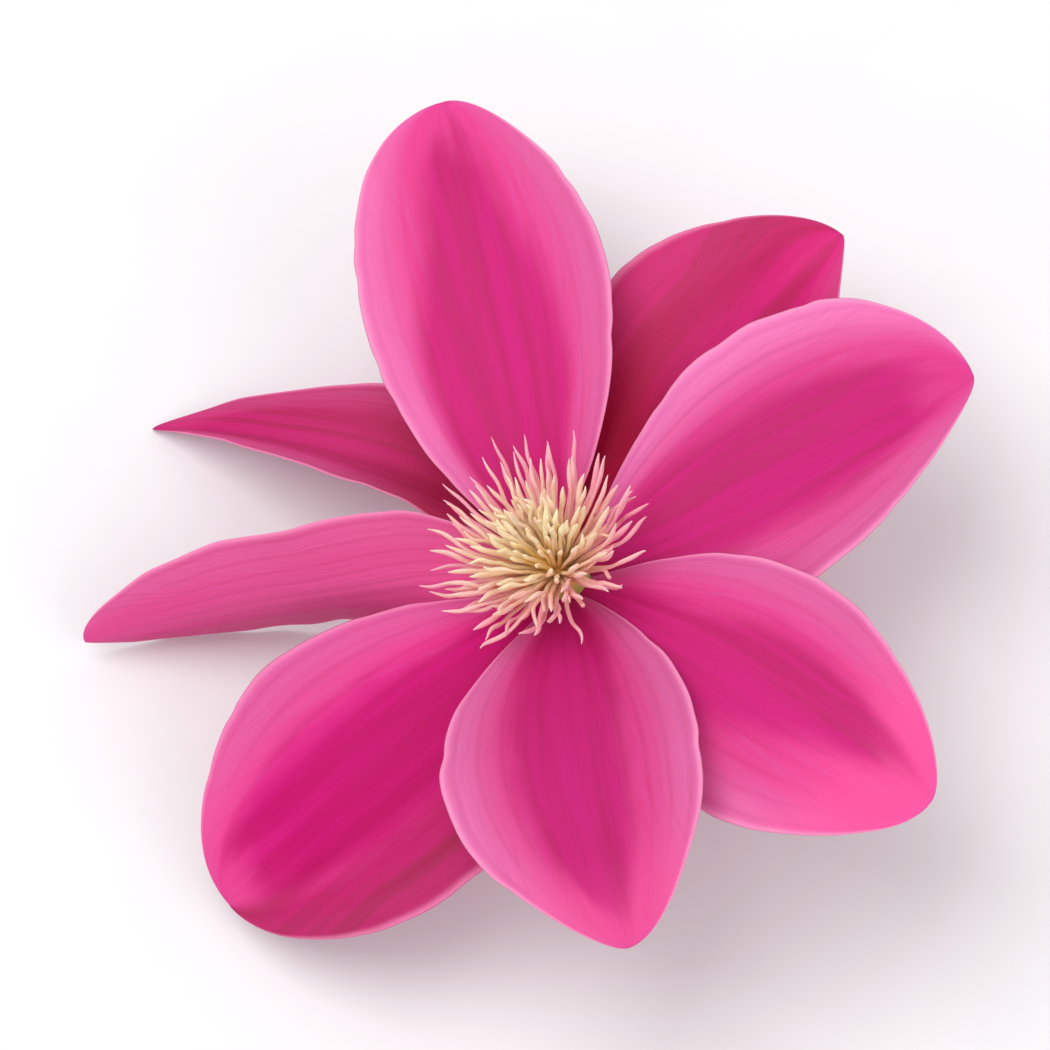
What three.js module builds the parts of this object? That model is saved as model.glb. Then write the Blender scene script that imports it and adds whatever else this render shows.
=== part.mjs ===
// One large-flowered clematis blossom, as picked, lying face up on a flat surface.
// Eight sepals stand in four layers on a small receptacle, round a tuft of stamens and pistils.
// The receptacle grew as one with the stalk, which bends over and lies along the surface.
// Units are millimetres, +Z is up, and the surface that the blossom lies on is at Z = 0.

import * as THREE from 'three';

// ---------------------------------------------------------------- driving dimensions

const FLOWER_X = 5.98;            // the receptacle's centre, with the whole blossom centred on X = Y = 0
const FLOWER_Y = -5.9;
const FLOWER_HEIGHT = 29.99;      // how high the low sepals and the stalk hold the receptacle
const LEAN = 14;                  // degrees that the blossom's axis leans to -X

const SEPAL_THICKNESS = 0.62;     // at the midrib
const SEPAL_EDGE = 0.4;           // at the margin
const SEPAL_ROOT = 3.6;           // radius that every midrib is measured from
const SEPAL_START = 0.019;        // fraction of the length where the claw begins, beside the collar
const SEPAL_END = 0.9995;         // fraction of the length of the last row, in the rounded tip
const CLAW = 1.2;                 // extra half width of the claw
const TIP_ROUND = 0.14;           // fraction of the length in which the tip is rounded off
const LAYER_STEP = 1.0;           // how far each layer of sepals sits below the one before
const SEPAL_ROWS = 24;            // steps along the sepal, closer together towards the tip
const ROW_CROWDING = 2;
const SEPAL_COLUMNS = 8;          // steps across it
const FOLD_SOFTNESS = 0.3;        // share of the half width over which a fold is rounded
const MIDRIB_STEPS = 48;          // straight steps that the curved midrib is added up from

const DOME_RADIUS = 4.3;          // the receptacle's dome, which carries the stamens
const DOME_HEIGHT = 0.9;          // height of the dome's centre above the first layer of sepals
const COLLAR_RADIUS = 4.4;        // the collar that carries the sepals
const COLLAR_LENGTH = 4.6;
const COLLAR_STEP = 0.4;          // height of the small shoulder between dome and collar
const DOME_DEPTHS = [0.15, 0.7, 1.6, 2.9, DOME_RADIUS];   // rings of the dome, below its top
const NECK = [[1.2, 0.8], [2.6, 0.48], [4.6, 0.2], [7.5, 0]];  // below the collar: distance, share left
const NECK_STRAIGHT = 11;         // the stalk leaves the collar straight, to this far below the centre
const STALK_RADIUS = 1.15;
const STALK_SIDES = 14;
const STALK_RINGS = 16;
const ROUTE_SAMPLES = 80;         // points of the stalk's route that are kept from sinking in the surface
const CUT_SLANT = 0.6;            // how far the cut end runs back, for each mm of radius
const FIT_GAP = 0.3;              // between two pieces that touch

const TUFT_TILT_X = 6;            // degrees that the tuft leans to -X, away from the blossom's axis
const TUFT_TILT_Y = 9;            // and to +Y
const STAMENS = 44;
const GOLDEN_ANGLE = 137.508;     // degrees from each stamen to the next
const STAMEN_ANGLES = [27, 57];   // degrees from the tuft's axis, at the innermost and outermost ones
const STAMEN_LENGTHS = [12.5, 17];
const STAMEN_ARCH = [2, 10];      // degrees that a stamen bends outwards over its length
const FILAMENT_RADIUS = 0.38;
const ANTHER_RADIUS = 0.6;
const ANTHER_SHARE = 0.32;        // of the stamen's length
const ROUNDING = 0.04;            // share of a stamen's or pistil's length that its rounded ends take
const THREAD_SIDES = 5;

const PISTILS = 7;                // one on the axis and a ring round it
const PISTIL_SPREAD = 14.5;       // degrees from the axis to the ring
const PISTIL_ARCH = 4;
const PISTIL_LENGTH = 10.5;
const PISTIL_RADIUS = 0.42;

// Each sepal: azimuth from +X and length; its layer (0 is on top); its rise above the receptacle's
// own plane at the root and at the tip, and the extra turn of its last stretch (droop); how far the
// tip stands sideways (sway); roll about the midrib and fold of both halves, both full at the
// fraction foldBy of the length. Its outline has a left and a right side, seen from the root: the
// half width of each, and the two powers that taper each to the root and to the tip.
const SEPAL_DEFAULTS = { droop: 0, roll: 0, fold: 4, foldBy: 0.35 };
const SEPALS = [
  {
    azimuth: 103, length: 76.9, layer: 0, rise: [16, 4], droop: -10, sway: -1,
    halfWidth: [20, 20.3], rootTaper: [0.72, 1.05], tipTaper: [0.52, 0.96],
  },
  {
    azimuth: 52, length: 67.4, layer: 3, rise: [2, 0], droop: -10, sway: -2,
    halfWidth: [24.2, 25], rootTaper: [0.98, 0.87], tipTaper: [0.85, 1.63],
  },
  {
    azimuth: 25, length: 68.6, layer: 2, rise: [6, 0], droop: -15, sway: -2.4,
    halfWidth: [22.5, 21.5], rootTaper: [0.93, 0.74], tipTaper: [0.66, 1.12],
  },
  {
    azimuth: -32.6, length: 69.3, layer: 1, rise: [11, 0], droop: -15, sway: -4.3,
    halfWidth: [18.9, 21.9], rootTaper: [0.94, 0.74], tipTaper: [1, 0.76],
  },
  {
    azimuth: -84.4, length: 65.3, layer: 0, rise: [22, 8], droop: -10, sway: 8,
    halfWidth: [19.5, 21.7], rootTaper: [0.74, 1.12], tipTaper: [0.77, 1.32],
  },
  {
    azimuth: -127.7, length: 71.3, layer: 1, rise: [8, -10], droop: -40, sway: -16,
    halfWidth: [25, 24.9], rootTaper: [0.89, 0.93], tipTaper: [1.01, 0.8],
  },
  {
    azimuth: 180, length: 77, layer: 2, rise: [4, -10.2], sway: 3, roll: -79, fold: -19, foldBy: 0.5,
    halfWidth: [15.5, 15.5], rootTaper: [0.8, 0.8], tipTaper: [0.9, 0.9],
  },
  {
    azimuth: 132.5, length: 71.3, layer: 3, rise: [-5, -10.7], sway: 29.3, roll: 23, fold: 31,
    halfWidth: [12.7, 13.4], rootTaper: [1.5, 1], tipTaper: [1.85, 1.6],
  },
];

// Points of the stalk's centre line, from the receptacle's centre. The last ones lie on the surface.
const STALK_LOW = STALK_RADIUS - FLOWER_HEIGHT;
const STALK_ROUTE = [
  [8, -3, -21],
  [14, -7, -27],
  [23, -11, STALK_LOW],
  [34, -13, STALK_LOW],
  [46, -12, STALK_LOW],
];

// ---------------------------------------------------------------- materials

const sepalMaterial = new THREE.MeshStandardMaterial({ color: 0xd42c7b, roughness: 0.6, metalness: 0 });
const stalkMaterial = new THREE.MeshStandardMaterial({ color: 0x6f7b3c, roughness: 0.65, metalness: 0 });
const stamenMaterial = new THREE.MeshStandardMaterial({ color: 0xf6cfae, roughness: 0.6, metalness: 0 });
const pistilMaterial = new THREE.MeshStandardMaterial({ color: 0xd9c27a, roughness: 0.6, metalness: 0 });

// ---------------------------------------------------------------- geometry helpers

const { degToRad: radians, lerp, smoothstep } = THREE.MathUtils;
const UP = new THREE.Vector3(0, 0, 1);

/** A closed mesh from shared points and faces. */
function closedGeometry(points, faces) {
  const geometry = new THREE.BufferGeometry().setFromPoints(points);
  geometry.setIndex(faces);
  geometry.computeVertexNormals();
  return geometry;
}

/** The unit vector at an azimuth from +X and an angle from +Z, both in degrees. */
function direction(azimuth, fromAxis) {
  const out = Math.sin(radians(fromAxis));
  const up = Math.cos(radians(fromAxis));
  return new THREE.Vector3(out * Math.cos(radians(azimuth)), out * Math.sin(radians(azimuth)), up);
}

/**
 * A solid swept along a curve and closed at both ends. Each station is a distance along the curve
 * and the radius there. The last ring may be slanted, as a cut stalk is.
 */
function sweep(curve, stations, sides, slant = 0) {
  const length = curve.getLength();
  const points = [];
  let side = new THREE.Vector3(0.3, 1, 0);
  stations.forEach(([distance, radius], ring) => {
    const share = Math.min(distance / length, 1);
    const centre = curve.getPointAt(share);
    const along = curve.getTangentAt(share);
    side = side.clone().addScaledVector(along, -side.dot(along)).normalize();
    const other = along.clone().cross(side);
    const shear = ring === stations.length - 1 ? slant : 0;
    for (let i = 0; i < sides; i += 1) {
      const angle = (2 * Math.PI * i) / sides;
      points.push(
        centre.clone()
          .addScaledVector(side, radius * Math.cos(angle))
          .addScaledVector(other, radius * Math.sin(angle))
          .addScaledVector(along, shear * radius * Math.cos(angle)),
      );
    }
  });
  const faces = [];
  for (let ring = 0; ring + 1 < stations.length; ring += 1) {
    for (let i = 0; i < sides; i += 1) {
      const a = ring * sides + i;
      const b = ring * sides + ((i + 1) % sides);
      faces.push(a, b, b + sides, a, b + sides, a + sides);
    }
  }
  const first = points.push(curve.getPointAt(0)) - 1;
  const last = points.push(curve.getPointAt(1)) - 1;
  const lastRing = (stations.length - 1) * sides;
  for (let i = 0; i < sides; i += 1) {
    const next = (i + 1) % sides;
    faces.push(first, next, i);
    faces.push(last, lastRing + i, lastRing + next);
  }
  return closedGeometry(points, faces);
}

// ---------------------------------------------------------------- sepals

/** Rise of the midrib, in radians, at the fraction s of its length. */
function riseAt(sepal, s) {
  const [root, tip] = sepal.rise;
  return radians(lerp(root, tip, s) + sepal.droop * s ** 5);
}

/** The midrib's point at the fraction s, for a sepal that points along +X. */
function midribAt(sepal, s) {
  const point = new THREE.Vector3(SEPAL_ROOT, sepal.sway * s ** 2, -sepal.layer * LAYER_STEP);
  const step = (sepal.length * s) / MIDRIB_STEPS;
  for (let i = 0; i < MIDRIB_STEPS; i += 1) {
    const rise = riseAt(sepal, (s * (i + 0.5)) / MIDRIB_STEPS);
    point.x += step * Math.cos(rise);
    point.z += step * Math.sin(rise);
  }
  return point;
}

/** Half width of one side, 0 for left or 1 for right, at the fraction s, with a claw at the root. */
function halfWidthAt(sepal, s, side) {
  const rootTaper = sepal.rootTaper[side];
  const tipTaper = sepal.tipTaper[side];
  const rounded = (x) => Math.sqrt(1 - x) * (1 - x + TIP_ROUND) ** (tipTaper - 0.5);
  const outline = (x) => x ** rootTaper * rounded(x);
  const widest = rootTaper / (rootTaper + tipTaper);
  return (sepal.halfWidth[side] * outline(s)) / outline(widest) + CLAW * (1 - s) ** 20;
}

/** Height of the fold across the sepal: 0 at the midrib, 1 at both margins, round in the middle. */
function foldHeight(t) {
  const height = (x) => Math.hypot(x, FOLD_SOFTNESS) - FOLD_SOFTNESS;
  return height(t) / height(1);
}

/** A point of the sepal's middle surface: s runs from root to tip, t across from -1, right, to 1. */
function sepalPoint(sepal, s, t) {
  const rise = riseAt(sepal, s);
  const slope = (2 * sepal.sway * s) / sepal.length;
  const along = new THREE.Vector3(Math.cos(rise), slope, Math.sin(rise)).normalize();
  const across = new THREE.Vector3(-Math.sin(rise), 0, Math.cos(rise)).cross(along).normalize();
  const turned = smoothstep(s, 0, sepal.foldBy);
  across.applyAxisAngle(along, radians(sepal.roll) * turned);
  const up = along.clone().cross(across);
  const fold = radians(sepal.fold) * turned;
  const width = halfWidthAt(sepal, s, t < 0 ? 1 : 0);
  return midribAt(sepal, s)
    .addScaledVector(across, width * t * Math.cos(fold))
    .addScaledVector(up, width * foldHeight(t) * Math.sin(fold))
    .applyAxisAngle(UP, radians(sepal.azimuth));
}

/** A sepal's solid: its middle surface, thickened to both sides, with a wall round the margin. */
function sepalGeometry(sepal) {
  const rows = [];
  for (let i = 0; i <= SEPAL_ROWS; i += 1) {
    const s = lerp(SEPAL_START, SEPAL_END, 1 - (1 - i / SEPAL_ROWS) ** ROW_CROWDING);
    const row = [];
    for (let j = 0; j <= SEPAL_COLUMNS; j += 1) {
      row.push(sepalPoint(sepal, s, lerp(-1, 1, j / SEPAL_COLUMNS)));
    }
    rows.push(row);
  }
  const upper = [];
  const lower = [];
  rows.forEach((row, i) => row.forEach((point, j) => {
    const before = rows[Math.max(i - 1, 0)][j];
    const after = rows[Math.min(i + 1, SEPAL_ROWS)][j];
    const left = row[Math.max(j - 1, 0)];
    const right = row[Math.min(j + 1, SEPAL_COLUMNS)];
    const normal = after.clone().sub(before).cross(right.clone().sub(left)).normalize();
    const margin = lerp(-1, 1, j / SEPAL_COLUMNS) ** 2;
    const half = lerp(SEPAL_THICKNESS, SEPAL_EDGE, margin) / 2;
    upper.push(point.clone().addScaledVector(normal, half));
    lower.push(point.clone().addScaledVector(normal, -half));
  }));

  const across = SEPAL_COLUMNS + 1;
  const below = upper.length;
  const faces = [];
  for (let i = 0; i < SEPAL_ROWS; i += 1) {
    for (let j = 0; j < SEPAL_COLUMNS; j += 1) {
      const a = i * across + j;
      const b = a + across;
      faces.push(a, b, b + 1, a, b + 1, a + 1);
      faces.push(below + a, below + b + 1, below + b, below + a, below + a + 1, below + b + 1);
    }
  }
  const margin = [];
  for (let i = 0; i < SEPAL_ROWS; i += 1) margin.push(i * across);
  for (let j = 0; j < SEPAL_COLUMNS; j += 1) margin.push(SEPAL_ROWS * across + j);
  for (let i = SEPAL_ROWS; i > 0; i -= 1) margin.push(i * across + SEPAL_COLUMNS);
  for (let j = SEPAL_COLUMNS; j > 0; j -= 1) margin.push(j);
  margin.forEach((p, k) => {
    const q = margin[(k + 1) % margin.length];
    faces.push(q, p, below + p, q, below + p, below + q);
  });
  return closedGeometry([...upper, ...lower], faces);
}

// ---------------------------------------------------------------- stalk and receptacle

/** The centre line from the dome's top, down the blossom's axis, and along the surface. */
function stalkCurve(axis) {
  const heights = [DOME_HEIGHT + DOME_RADIUS, 0, -COLLAR_LENGTH, -NECK_STRAIGHT];
  const onAxis = heights.map((height) => axis.clone().multiplyScalar(height));
  const route = STALK_ROUTE.map((point) => new THREE.Vector3(...point));
  const smooth = new THREE.CatmullRomCurve3([...onAxis, ...route], false, 'centripetal');
  const samples = smooth.getPoints(ROUTE_SAMPLES);
  const resting = samples.map((point) => point.setZ(Math.max(point.z, STALK_LOW)));
  return new THREE.CatmullRomCurve3(resting, false, 'centripetal');
}

/** The dome, the collar and the long stalk, which are one grown piece. */
function stalkGeometry(axis) {
  const curve = stalkCurve(axis);
  const domeRadius = (depth) => Math.sqrt(DOME_RADIUS ** 2 - (DOME_RADIUS - depth) ** 2);
  const stations = DOME_DEPTHS.map((depth) => [depth, domeRadius(depth)]);
  const collarStart = DOME_RADIUS + COLLAR_STEP;
  const collarEnd = collarStart + COLLAR_LENGTH;
  stations.push([collarStart, COLLAR_RADIUS], [collarEnd, COLLAR_RADIUS]);
  NECK.forEach(([distance, share]) => {
    stations.push([collarEnd + distance, lerp(STALK_RADIUS, COLLAR_RADIUS, share)]);
  });
  const [neckEnd] = stations.at(-1);
  for (let i = 1; i <= STALK_RINGS; i += 1) {
    stations.push([lerp(neckEnd, curve.getLength(), i / STALK_RINGS), STALK_RADIUS]);
  }
  return sweep(curve, stations, STALK_SIDES, CUT_SLANT);
}

// ---------------------------------------------------------------- stamens and pistils

/**
 * A thread that stands on the dome, whose centre is the tuft's origin, and bends outwards by arch
 * degrees. Each of its stations is a share of its length and the radius there.
 */
function threadGeometry({ azimuth, fromAxis, arch, length, stations }) {
  const root = direction(azimuth, fromAxis).multiplyScalar(DOME_RADIUS + FIT_GAP);
  const middle = root.clone().addScaledVector(direction(azimuth, fromAxis), length / 2);
  const end = middle.clone().addScaledVector(direction(azimuth, fromAxis + arch), length / 2);
  const curve = new THREE.QuadraticBezierCurve3(root, middle, end);
  const reach = curve.getLength();
  return sweep(curve, stations.map(([share, radius]) => [share * reach, radius]), THREAD_SIDES);
}

/** A stamen: a thin filament and a thicker anther, as one piece. Later ones stand further outwards. */
function stamenGeometry(index) {
  const outwards = (index + 0.5) / STAMENS;
  const [inner, outer] = STAMEN_ANGLES.map((angle) => Math.cos(radians(angle)));
  const fromAxis = THREE.MathUtils.radToDeg(Math.acos(lerp(inner, outer, outwards)));
  const anther = 1 - ANTHER_SHARE;
  return threadGeometry({
    azimuth: index * GOLDEN_ANGLE,
    fromAxis,
    arch: lerp(...STAMEN_ARCH, outwards),
    length: lerp(...STAMEN_LENGTHS, outwards),
    stations: [
      [0, FILAMENT_RADIUS],
      [anther / 2, FILAMENT_RADIUS],
      [anther, FILAMENT_RADIUS],
      [anther + ROUNDING, ANTHER_RADIUS],
      [1 - ROUNDING, ANTHER_RADIUS],
      [1, ANTHER_RADIUS / 2],
    ],
  });
}

/** A pistil: a slender style. The first stands on the axis, the others in a ring round it. */
function pistilGeometry(index) {
  const onAxis = index === 0;
  return threadGeometry({
    azimuth: (360 * index) / (PISTILS - 1),
    fromAxis: onAxis ? 0 : PISTIL_SPREAD,
    arch: onAxis ? 0 : PISTIL_ARCH,
    length: PISTIL_LENGTH,
    stations: [[0, PISTIL_RADIUS], [1 - ROUNDING, PISTIL_RADIUS], [1, PISTIL_RADIUS / 2]],
  });
}

// ---------------------------------------------------------------- the blossom

function piece(name, geometry, material) {
  const mesh = new THREE.Mesh(geometry, material.clone());
  mesh.name = name;
  return mesh;
}

const head = new THREE.Group();
head.rotation.y = -radians(LEAN);
SEPALS.forEach((sepal, i) => {
  head.add(piece(`sepal_${i + 1}`, sepalGeometry({ ...SEPAL_DEFAULTS, ...sepal }), sepalMaterial));
});

const tuft = new THREE.Group();
tuft.position.z = DOME_HEIGHT;
tuft.rotation.set(-radians(TUFT_TILT_Y), -radians(TUFT_TILT_X), 0);
head.add(tuft);
for (let i = 0; i < STAMENS; i += 1) {
  tuft.add(piece(`stamen_${String(i + 1).padStart(2, '0')}`, stamenGeometry(i), stamenMaterial));
}
for (let i = 0; i < PISTILS; i += 1) {
  tuft.add(piece(`pistil_${i + 1}`, pistilGeometry(i), pistilMaterial));
}

const blossom = new THREE.Group();
blossom.position.set(FLOWER_X, FLOWER_Y, FLOWER_HEIGHT);
const axis = UP.clone().applyEuler(head.rotation);
blossom.add(head, piece('pedicel', stalkGeometry(axis), stalkMaterial));

export default blossom;
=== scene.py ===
"""The looks of a large-flowered clematis blossom, as picked, lying face up on a pale surface.

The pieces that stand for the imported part's solids follow the same formulas, in millimetres, with a
finer mesh: ribbed sepals with thin round margins, threads with anthers, and a ridged stalk. Further
stamens and pistils, made the same way, fill up the tuft.
"""

from types import SimpleNamespace

import bpy
import numpy as np
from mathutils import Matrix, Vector


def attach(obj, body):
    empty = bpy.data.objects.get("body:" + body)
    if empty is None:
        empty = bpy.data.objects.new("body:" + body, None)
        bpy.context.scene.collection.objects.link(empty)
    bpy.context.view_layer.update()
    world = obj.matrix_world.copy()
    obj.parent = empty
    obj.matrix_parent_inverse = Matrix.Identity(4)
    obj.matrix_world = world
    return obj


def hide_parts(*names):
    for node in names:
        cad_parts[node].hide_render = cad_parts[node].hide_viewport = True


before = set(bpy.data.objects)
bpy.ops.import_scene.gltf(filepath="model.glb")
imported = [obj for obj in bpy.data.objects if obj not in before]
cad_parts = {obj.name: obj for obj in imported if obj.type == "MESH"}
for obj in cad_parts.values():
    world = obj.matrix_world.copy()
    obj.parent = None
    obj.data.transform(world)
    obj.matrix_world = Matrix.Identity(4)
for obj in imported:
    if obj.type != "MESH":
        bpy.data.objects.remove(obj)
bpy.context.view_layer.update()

MM = 0.001                        # metres in a millimetre, the unit of every size up to the stage

# ---------------------------------------------------------------- driving dimensions, as in the part

FLOWER = np.array([5.98, -5.9, 29.99])   # the receptacle's centre
LEAN = 14                         # degrees that the blossom's axis leans to -X

SEPAL_ROOT = 3.6                  # radius that every midrib is measured from
CLAW = 1.2                        # extra half width of the claw
TIP_ROUND = 0.14                  # fraction of the length in which the tip is rounded off
LAYER_STEP = 1.0                  # how far each layer of sepals sits below the one before
FOLD_SOFTNESS = 0.3               # share of the half width over which a fold is rounded
MIDRIB_STEPS = 48                 # straight steps that the curved midrib is added up from

DOME_RADIUS = 4.3                 # the receptacle's dome, which carries the stamens
DOME_HEIGHT = 0.9                 # height of the dome's centre above the first layer of sepals
COLLAR_RADIUS = 4.4               # the collar that carries the sepals
COLLAR_LENGTH = 4.6
COLLAR_STEP = 0.4                 # height of the small shoulder between dome and collar
NECK = [(1.2, 0.8), (2.6, 0.48), (4.6, 0.2), (7.5, 0.0)]   # below the collar: distance, share left
NECK_STRAIGHT = 11                # the stalk leaves the collar straight, to this far below the centre
STALK_RADIUS = 1.15
STALK_LOW = STALK_RADIUS - FLOWER[2]     # where the stalk lies on the surface
STALK_ROUTE = [                   # from the receptacle's centre
    (8, -3, -21),
    (14, -7, -27),
    (23, -11, STALK_LOW),
    (34, -13, STALK_LOW),
    (46, -12, STALK_LOW),
]
ROUTE_SAMPLES = 80                # points of the stalk's route that are kept from sinking in the surface
CUT_SLANT = 0.6                   # how far the cut end runs back, for each mm of radius

TUFT_TILT_X = 6                   # degrees that the tuft leans to -X, away from the blossom's axis
TUFT_TILT_Y = 9                   # and to +Y
STAMENS = 44
GOLDEN_ANGLE = 137.508            # degrees from each stamen to the next one
STAMEN_ANGLES = (27, 57)          # degrees from the tuft's axis, at the innermost and outermost ones
STAMEN_LENGTHS = (12.5, 17)
STAMEN_ARCH = (2, 10)             # degrees that a stamen bends outwards over its length
ANTHER_SHARE = 0.32               # of the stamen's length
THREAD_GAP = 0.3                  # from the dome to where a thread's length is measured from
PISTILS = 7                       # one on the axis, the others in a ring
PISTIL_SPREAD = 14.5              # degrees from the axis to the ring
PISTIL_ARCH = 4
PISTIL_LENGTH = 10.5

# ---------------------------------------------------------------- sizes of the sepals' finer detail

SEPAL_ROWS = 120
SEPAL_COLUMNS = 72                # on each face
SEPAL_END = 0.9995                # fraction of the length where the tip is closed
ROW_CROWDING = 2                  # rows stand closer together towards the tip
COLUMN_CROWDING = 0.6             # columns stand closer together towards the margins
MIDRIB_THICKNESS = 0.56
MARGIN_THICKNESS = 0.34
EDGE_POWER = 30                   # the higher, the narrower the margin's round edge
THINNER_FROM = 0.9                # fraction of the length from which the sepal gets thinner
TIP_THINNESS = 0.15               # share of the thickness that is left at the tip
VEIN_STEP = 0.18                  # from each main vein to the next, as a share of the half width
RIBS = tuple(VEIN_STEP * k for k in range(-2, 3))    # the veins that stand out on the reverse
RIB_DEPTH = 0.07                  # of the groove over each one, on the upper face
RIB_HEIGHT = 0.24                 # of the ridge under each one
RIB_WIDTH = 0.042                 # as a share of the half width
RIB_SPAN = ((0.03, 0.15), (0.96, 0.55))     # fractions of the length where ribs rise and fade away
PANEL_BULGE = 0.42                # how far the sepal rises between its midrib and each margin
PANEL_SPAN = ((0.04, 0.3), (1, 0.8))        # fractions of the length where that begins and ends
MARGIN_WAVES = 2.2                # long waves from root to tip
MARGIN_WAVE = 0.45                # how far the margin waves up and down
MARGIN_WANDER = 0.014             # share of the half width by which the outline wanders
MARGIN_NICKS = 3.2                # short waves from root to tip, whose peaks are notches
MARGIN_NICK = 0.012               # share of the half width by which the notches go in

# ---------------------------------------------------------------- sizes of the tuft's finer detail

THREAD_SIDES = 10
THREAD_RINGS = 30
THREAD_WAVES = 1.2                # small waves from root to tip
THREAD_RIPPLES = (0.35, 0.3)      # their size sideways and upwards, as shares of how far it wavers
KINK_SPAN = (0.5, 1.05)           # fractions of the length over which a kink turns the end off
ROOT_DEPTH = 0.4                  # how far each thread's root is sunk in the dome
FILAMENT_RADII = (0.50, 0.40)     # at the root and at the tip
ANTHER_RADIUS = 0.52
ANTHER_START = (-0.08, 0.04)      # fractions of the length round the anther's start where it widens
ANTHER_POINT = 0.8                # fraction of the length from which the anther tapers to its point
FILAMENT_FLATNESS = 0.45          # share of its radius that a filament lacks on its flat sides
ANTHER_REACH = 0.86               # mean share of its radius that an anther's outline reaches
ANTHER_FURROW = 0.16              # how far its furrows and ridges stand off from that
STAMEN_WAVER = 1.1                # how far a stamen wavers sideways
STAMEN_CURL = (0.0, 2.4)          # least and most that an outer stamen's end curls up

BETWEEN_STAMENS = 44              # slimmer ones between those above
BETWEEN_TURN = 31                 # degrees that their spiral is turned on
BETWEEN_LENGTHS = (13, 19.5)
BETWEEN_WAVER = 1.5
BETWEEN_CURL = (0.5, 4.5)

INNER_STAMENS = 34                # young upright ones round the pistils
INNER_GAP = 110                   # degrees at the front with none of them
INNER_ANGLES = (9, 25)
INNER_LENGTHS = (13.5, 12.5)
INNER_ARCH = -3
INNER_WAVER = 2.0
INNER_SLIM = 0.98

FRONT_STAMENS = 32                # low ones at the front, where the blossom's lean bares the collar
FRONT_ARC = 230                   # degrees that they take up
FRONT_LEFT = 0.45                 # share of that arc to the left of the front
FRONT_ANGLES = (44, 67)
FRONT_LENGTHS = (12.5, 16.5)
FRONT_ARCH = 6
FRONT_WAVER = 1.8
FRONT_CURL = (0.5, 3.5)

FRONT = -90                       # azimuth of the tuft's front
FRONT_KINK = 2.2                  # how far a front stamen's end turns off sideways
LOW_KINK = 0.6                    # share of that for the low ones
SIDE_KINK = 1.2                   # how far a side stamen's end turns towards +Y
SLIM = 0.78                       # thickness of the slimmer stamens, as a share of the others'
GOLDEN_SHARE = 0.618              # of a group's arc, from each stamen to the next one

OVARY_RADIUS = 0.5
STYLE_RADIUS = 0.32
OVARY_SPAN = (0.1, 0.45)          # fractions of the length over which the ovary narrows to the style
STIGMA_SWELLING = 0.08            # what the stigma adds to the style's radius
STIGMA_SPAN = (0.8, 0.92)         # fractions of the length over which the style widens to it
STIGMA_ROUND = 0.88               # fraction of the length from which the stigma is rounded off
PISTIL_WAVER = 0.7
PISTIL_BLUSH = 0.3                # how pink the pinkest one is
EXTRA_PISTILS = 16                # between and round the pistils above
EXTRA_ANGLES = (5, 23)
EXTRA_LENGTHS = (1.0, 0.82)       # as a share of the others'

POINT_END = 1.02                  # fraction of the length where a thread's radius would reach 0
POINT_LEFT = 0.004                # least that is left of the end's cross-section
BLUSH_RANGE = (-0.05, 0.9)        # how pink the innermost and the outermost stamens are
BLUSH_AT_TOP = 0.3                # how much pinker they are at the top of the photograph
BLUSH_SPREAD = 0.2                # how far one may differ from its neighbours

# The first random seed of each group of threads.
SEEDS = dict(pistil=300, extra_pistil=400, stamen=500, between=700, inner=900, front=1100)

# ---------------------------------------------------------------- sizes of the stalk's finer detail

STALK_SIDES = 42
STALK_RINGS = 150
CURVE_SAMPLES = 12                # points that the stalk's curve gets for each point of its route
DOME_RINGS = 14
DOME_TOP = 0.06                   # radians from the dome's top to its first ring
COLLAR_BAND = 1.5                 # from the collar's upper edge to a ring that keeps its side straight
NECK_START = 0.5                  # from the collar to the neck's first ring
RIDGES = 6
RIDGE_DEPTH = 0.05                # share of the radius that the grooves between the ridges take away
RIDGES_FULL = 5                   # from the collar to where the ridges are full
COLLAR_START = DOME_RADIUS + COLLAR_STEP     # as distances from the dome's top
COLLAR_END = COLLAR_START + COLLAR_LENGTH
CUT_LENGTH = 4 * STALK_RADIUS * CUT_SLANT   # of the stalk's end that the slanting cut draws along
CUT_FACE = (0.93, 0.6, 0.3, 0.05)           # rings of the cut face, as shares of its radius

# ---------------------------------------------------------------- the sepals

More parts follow.
